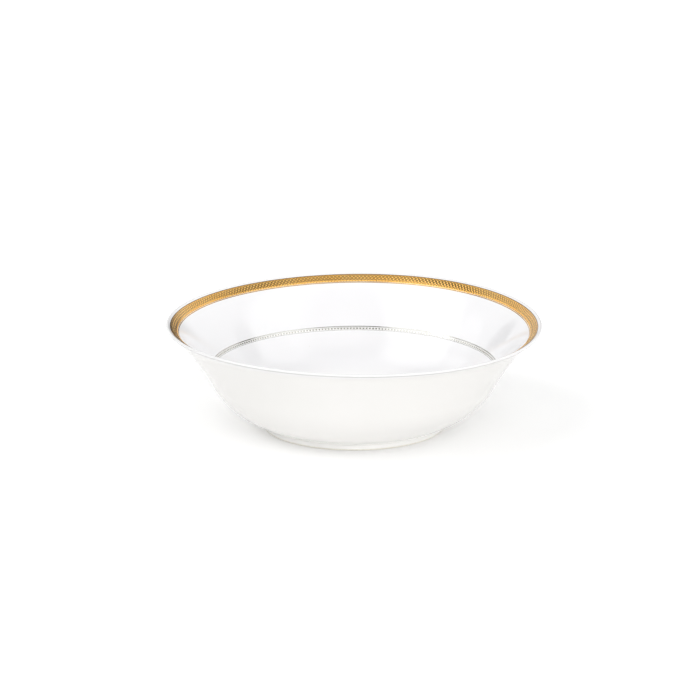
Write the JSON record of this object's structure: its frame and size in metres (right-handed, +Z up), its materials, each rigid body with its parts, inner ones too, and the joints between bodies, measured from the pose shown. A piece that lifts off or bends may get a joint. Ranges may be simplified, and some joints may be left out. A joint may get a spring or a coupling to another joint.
{
  "type": "porcelain serving bowl",
  "caption": "Shallow round white china serving bowl with a low foot ring, a flared lip with a raised gold lattice band, and a fine platinum verge line on the inner wall.",
  "frame": {"origin": "centre of the foot ring's tread, on the table", "axes": "+Z up along the bowl's axis of symmetry; the bowl is round, so +X and +Y are free"},
  "size_m": [0.25, 0.25, 0.0706],
  "materials": {
    "china_body": "fired, unglazed, matt",
    "inside_glaze": "clear gloss glaze on cool white china",
    "outside_glaze": "clear gloss glaze on warm white china",
    "gold": "burnished gold",
    "dark_gold": "dark burnished gold hairline",
    "platinum": "burnished platinum"
  },
  "bodies": {
    "root": {"bowl_body": "china_body", "foot_ring": "china_body", "inside_glaze": "inside_glaze", "outside_glaze": "outside_glaze", "base_glaze": "outside_glaze", "rim_outer_line": "dark_gold", "rim_gold_band": "gold", "rim_gold_lattice": "gold", "rim_bead_row": "gold", "rim_inner_line": "dark_gold", "verge_upper_line": "platinum", "verge_platinum_band": "platinum", "verge_dentils": "platinum", "verge_lower_line": "platinum"}
  },
  "joints": []
}
